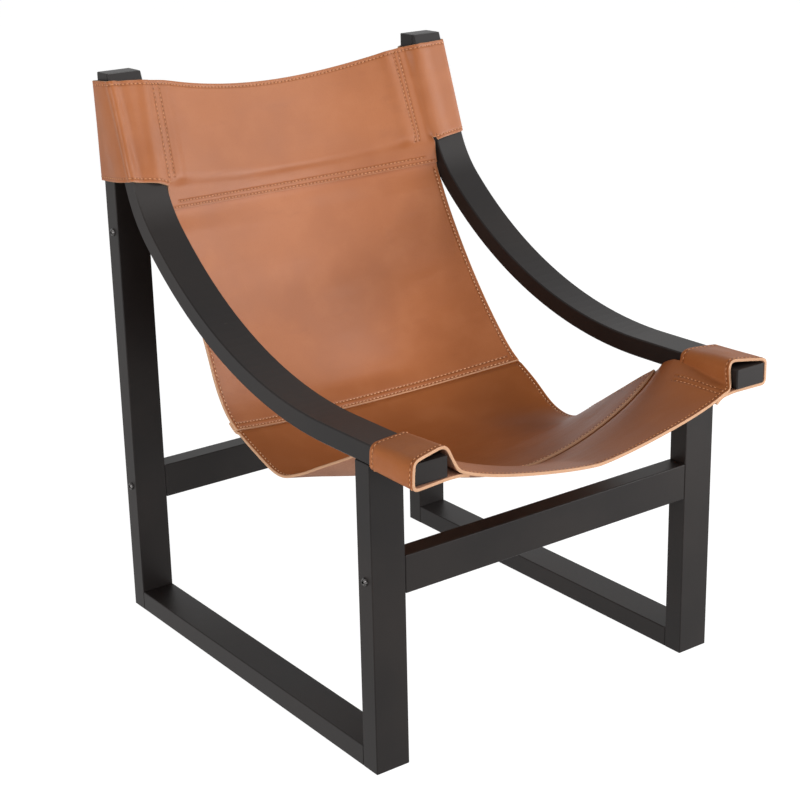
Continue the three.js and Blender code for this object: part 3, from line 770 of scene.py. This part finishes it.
def sleeve_side(sign):
    """Half of the band, from the middle out and round one post, made as if on the right."""
    tail, tail_drop = 0.010, 0.0035
    bow_power, droop_part, droop_lean = 2.2, 0.92, 0.05
    bow = front_face[:, None] + band_bow * (1 - main_share[None, :] ** bow_power)
    droop = band_droop_foot + (band_droop_top - band_droop_foot) * height_share[:, None]
    droop = droop * (droop_part - droop_lean * sign * main_share[None, :])
    dip = droop * (1 - (main_share[None, :] / main_share[-1]) ** 2)
    out = np.broadcast_to(main_share * inner_face, bow.shape)
    main = np.stack([out, bow, heights[:, None] - dip], -1)
    seam_back = bow[:, -1]
    every = np.ones(sleeve_row_count)
    slack = 0.0008 + 0.0010 * height_share
    near_side, far_side = every * (inner_face - hide_skin), outer_face + hide_skin + slack
    far_back = post_back + hide_skin + slack
    under = ply_step + ply_gap
    corners = np.stack([np.stack(pair, -1) for pair in (
        (every * seam_place, seam_back),
        (near_side, front_face),
        (far_side, front_face),
        (far_side, far_back),
        (near_side, far_back),
        (every * seam_place, seam_back + under),
        (every * (seam_place - tail), seam_back + tail_drop + under),
    )], 1)
    path = folded(corners, sleeve_bends[sign], sleeve_straights)[:, 1:]
    up = np.broadcast_to(heights[:, None, None], (*path.shape[:2], 1))
    sleeve = np.concatenate([main, np.concatenate([path, up], -1)], 1)
    beyond = lengths(sleeve, 1)
    beyond = beyond - beyond[:, main_count - 1 : main_count]
    share = height_share[:, None]
    lift = np.interp(beyond, sleeve_distance, sleeve_hem[sign]) * (1 - share) ** 2
    lift += np.interp(beyond, sleeve_distance, sleeve_brim[sign]) * share**2
    sleeve = sleeve + lift[..., None] * np.array([0.0, math.cos(rail_lean), math.sin(rail_lean)])

    top, foot = np.array(sleeve_seams[sign]).mean(0)
    from_rows = beyond - (foot + (top - foot) * share)
    raised = np.zeros(beyond.shape)
    for measured, ridges in ((from_rows, ridges_from_rows), (beyond, ridges_from_seam)):
        for height, at_foot, at_top, width in ridges[sign]:
            raised += height * hill(measured, at_foot + (at_top - at_foot) * share, width)
    # the ridges' height varies a little from the foot to the top
    wave = 1 + 0.22 * np.sin(heights * 41 + sign) + 0.12 * np.sin(heights * 97 + 2 * sign)
    raised = raised * wave[:, None] * soft_step(beyond, -0.05, -0.02)
    sleeve = sleeve + outward(sleeve) * raised[..., None]
    return np.concatenate([sleeve, hung_side(sign, strip_stations, strip_across, sleeve.shape[1])])


def hung_side(sign, stations, shares, columns):
    """Rows of the hanging sling on one side, filled up with spare places to a number of columns."""
    places = hung(stations[:, None], sign * shares[None, :]) * np.array([sign, 1.0, 1.0])
    return np.concatenate([places, np.repeat(places[:, -1:], columns - len(shares), 1)], 1)


def both_sides(right, left):
    mirror = left[:, 1:][:, ::-1] * np.array([-1.0, 1.0, 1.0])
    return np.concatenate([mirror, right], 1)


def softened(grid, first, last, times):
    """The same grid with a stretch of its rows eased, so that a fold across it is round."""
    for _ in range(times):
        eased = grid.copy()
        before, after = grid[first - 1 : last - 1], grid[first + 1 : last + 1]
        eased[first:last] = (before + 2 * grid[first:last] + after) / 4
        grid = eased
    return grid


def columns_out(grid):
    """How many columns each one lies from the middle."""
    columns = grid.shape[1]
    return np.abs(np.arange(columns) - (columns - 1) // 2)


def cells_kept(grid, wide_rows, narrow):
    """The cells of a band: all of its wide rows, and the others up to the narrow strip's edge."""
    out = columns_out(grid)
    kept = np.repeat([np.maximum(out[:-1], out[1:]) <= narrow], grid.shape[0] - 1, 0)
    kept[wide_rows] = True
    return kept


def band_fields_of(grid, seam_column):
    """Distances over the leather, from a band's middle, its edges and the seams of its ends."""
    along, across = lengths(grid, 0), lengths(grid, 1)
    middle = (grid.shape[1] - 1) // 2
    right, left = middle + seam_column, middle - seam_column
    return {
        "along": along,
        "across": across - across[:, middle : middle + 1],
        "beyond_right": across - across[:, right : right + 1],
        "beyond_left": across[:, left : left + 1] - across,
        "from_foot": along[-1:] - along,
    }


band_grid = both_sides(sleeve_side(1), sleeve_side(-1))
narrow = len(strip_across) - 1
in_strip = columns_out(band_grid) <= narrow
fold_first, fold_last = sleeve_row_count - 5, sleeve_row_count + 4
band_grid[:, in_strip] = softened(band_grid[:, in_strip], fold_first, fold_last, times=6)
band_kept = cells_kept(band_grid, slice(sleeve_row_count - 1), narrow)
band_fields = band_fields_of(band_grid, main_count - 1)
band_along = band_fields["along"]
band_fields["from_hem"] = band_along[sleeve_row_count - 1][None, :] - band_along
band_rows = []
for side, sign in (("left", -1), ("right", 1)):
    for k, (top, foot) in enumerate(sleeve_seams[sign]):
        line = top + (foot - top) * band_along / seam_length[sign]
        band_fields[f"{side}_seam_{k}"] = band_fields[f"beyond_{side}"] - line
        band_rows.append(Row(f"{side}_seam_{k}", 0.0, "along", 0.0055, seam_length[sign]))
band_rows += [
    Row("along", 0.0052, "across", -1, 1),
    Row("from_foot", 0.0030, "across", -0.236, 0.236),
    Row("from_foot", 0.0105, "across", -0.222, 0.222),
    Row("from_hem", 0.0052, "beyond_right", 0.022, 0.245),
    Row("from_hem", 0.0052, "beyond_left", 0.022, 0.245),
]
# The band's hide is a slightly darker copy of the tan: painted shade.
band_hide = grain_side("band_hide", band_rows, shade_tone=0.96)
band_piece = leather_sheet("band_sheet", band_grid, band_fields, band_hide, band_kept)
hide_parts("top_band")
tan_thread = waxed_thread("tan_thread", seen_as(186, 124, 80), seen_as(208, 150, 106))
band_stitches = stitches("band_stitches", band_grid, band_fields, band_rows, tan_thread)


# ---------------------------------------------------------------------------------------------
# Front band: a strip of hide sewn under the seat panel's foot. Its two ends are loops that slip
# over the front ends of the curved rails and are closed by two short rows of stitches.
# ---------------------------------------------------------------------------------------------
rail_foot = 0.409
front_half = 0.230
loop_row_count, narrow_row_count, front_flank_count = 30, 17, 5
front_ramp_start, front_ramp_end = front_lap + 0.001, front_lap + 0.024
narrow_first = station_after(front_station, -front_lap / 2)
narrow_stations = np.linspace(narrow_first, loop_station, narrow_row_count + 1)[:-1]
loop_stations = np.linspace(loop_station, len(hang_middle) - 1, loop_row_count)
front_share = np.linspace(0, seam_place / front_half, main_count)
front_flank = np.linspace(seam_place, front_half, front_flank_count + 1)[1:] / front_half
front_across = np.concatenate([front_share, front_flank])

# Each table below holds the right side (1) and the left side (-1).
loop_straights = (5, 5, 16, 7, 14, 6, 4)
loop_bends = {
    1: (0.007, 0.013, 0.006, 0.007, 0.006, 0.006),
    -1: (0.007, 0.008, 0.011, 0.008, 0.006, 0.006),
}
# the leather's place and height at the foot and at the head of each loop's inner side, and its
# height on the rail, at the loop's rear edge and at its front edge
loop_foot = {1: ((0.2306, 0.4250), (0.2300, 0.4115)), -1: ((0.2306, 0.4235), (0.2190, 0.4125))}
loop_head = {1: ((0.2322, 0.4395), (0.2322, 0.4450)), -1: ((0.2322, 0.4395), (0.2330, 0.4440))}
loop_top = {1: (0.4378, 0.4382), -1: (0.4380, 0.4400)}
loop_hang = {1: 0.0045, -1: 0.0}
# where each loop's rear and front edges lie, at distances over the leather from its closing seam
loop_distance = [0.0, 0.025, 0.050, 0.080, 0.100, 0.135, 0.190]
loop_rear = {
    1: [-0.256, -0.2585, -0.261, -0.267, -0.271, -0.272, -0.271],
    -1: [-0.258, -0.266, -0.274, -0.276, -0.277, -0.275, -0.272],
}
loop_front = {
    1: [-0.353, -0.345, -0.341, -0.346, -0.351, -0.352, -0.350],
    -1: [-0.353, -0.350, -0.348, -0.355, -0.361, -0.358, -0.352],
}
# the two rows that close each loop: distances from the seam at its rear and at its front
loop_seams = {1: ((-0.0135, -0.003), (-0.005, 0.0045)), -1: ((-0.006, -0.006), (0.004, 0.004))}
loop_seam_run = 0.095


def loop_side(sign):
    """Half of the band, from the middle out and round one rail, made as if on the right."""
    tail, tail_drop, tightest_bend = 0.010, 0.003, 0.0006
    main = hung_side(sign, loop_stations, front_share, len(front_share))
    joint = main[:, -1]
    every = np.ones(loop_row_count)
    forward = np.linspace(0, 1, loop_row_count)

    def over_depth(ends):
        rear, front = np.array(ends[0]), np.array(ends[1])
        return rear + (front - rear) * (forward[:, None] if rear.ndim else forward)

    foot, head, top = (over_depth(place[sign]) for place in (loop_foot, loop_head, loop_top))
    slack = 0.0006 + 0.0012 * forward
    far_side = outer_face + hide_skin + slack
    under = rail_foot - hide_skin - 0.0008 * forward
    lining = joint[:, 2] - ply_step - ply_gap
    corners = np.stack([np.stack(pair, -1) for pair in (
        (joint[:, 0], joint[:, 2]),
        (foot[:, 0], foot[:, 1]),
        (head[:, 0], head[:, 1]),
        (far_side, top),
        (far_side, under),
        (every * (inner_face + ply_gap), under),
        (joint[:, 0], lining),
        (joint[:, 0] - tail, lining - tail_drop - loop_hang[sign] * forward),
    )], 1)
    bends = (tightest_bend + loop_bends[sign][0] * forward[:, None], *loop_bends[sign][1:])
    path = folded(corners, bends, loop_straights)[:, 1:]
    steps = np.diff(path, axis=1, prepend=joint[:, None, ::2])
    beyond = np.cumsum(np.linalg.norm(steps, axis=-1), 1)
    rear, front = (np.interp(beyond, loop_distance, edge[sign]) for edge in (loop_rear, loop_front))
    depth = rear + (front - rear) * forward[:, None]
    depth = joint[:, 1:2] + (depth - joint[:, 1:2]) * soft_step(beyond, 0, 0.02)
    wing = np.stack([path[..., 0], depth, path[..., 1]], -1)
    whole = np.concatenate([main, wing], 1)
    spread = np.concatenate([np.full(main.shape[:2], -1.0), beyond], 1)
    # two soft bulges: their height, and the place and the width of each round the loop and forward
    puff = 0.0014 * hill(spread, 0.062, 0.014) * hill(forward[:, None], 0.45, 0.3)
    puff += 0.0012 * hill(spread, 0.105, 0.010) * hill(forward[:, None], 0.7, 0.3)
    return whole + outward(whole) * puff[..., None]


front_halves = []
for sign in (1, -1):
    loop = loop_side(sign)
    strip = hung_side(sign, narrow_stations, front_across, loop.shape[1])
    front_halves.append(np.concatenate([strip, loop]))
front_grid = both_sides(*front_halves)
front_kept = cells_kept(front_grid, slice(narrow_row_count, None), len(front_across) - 1)
front_step = soft_step(lengths(front_grid, 0), front_ramp_start, front_ramp_end)
front_sink = ply_step * (1 - front_step)
front_sink[narrow_row_count:] = 0
front_grid = front_grid - outward(front_grid) * front_sink[..., None]
front_fields = band_fields_of(front_grid, len(front_share) - 1)
front_along = front_fields["along"]
from_rear = front_along - front_along[narrow_row_count][None, :]
front_fields["from_rear"] = from_rear
front_rows = [Row("from_foot", 0.0048, "across", -1, 1)]
for side, sign in (("right", 1), ("left", -1)):
    for k, (rear, front) in enumerate(loop_seams[sign]):
        line = rear + (front - rear) * from_rear / loop_seam_run
        front_fields[f"{side}_seam_{k}"] = front_fields[f"beyond_{side}"] - line
        front_rows.append(Row(f"{side}_seam_{k}", 0.0, "from_rear", 0.012, 0.089))
    front_rows.append(Row("from_rear", 0.0052, f"beyond_{side}", 0.020, 0.180))
# The front band's hide is a darker copy of the tan: painted shade.
front_hide = grain_side("front_hide", front_rows, shade_tone=0.92, gloss=0.16)
front_piece = leather_sheet("front_sheet", front_grid, front_fields, front_hide, front_kept)
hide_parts("front_band")
front_stitches = stitches("front_stitches", front_grid, front_fields, front_rows, tan_thread)
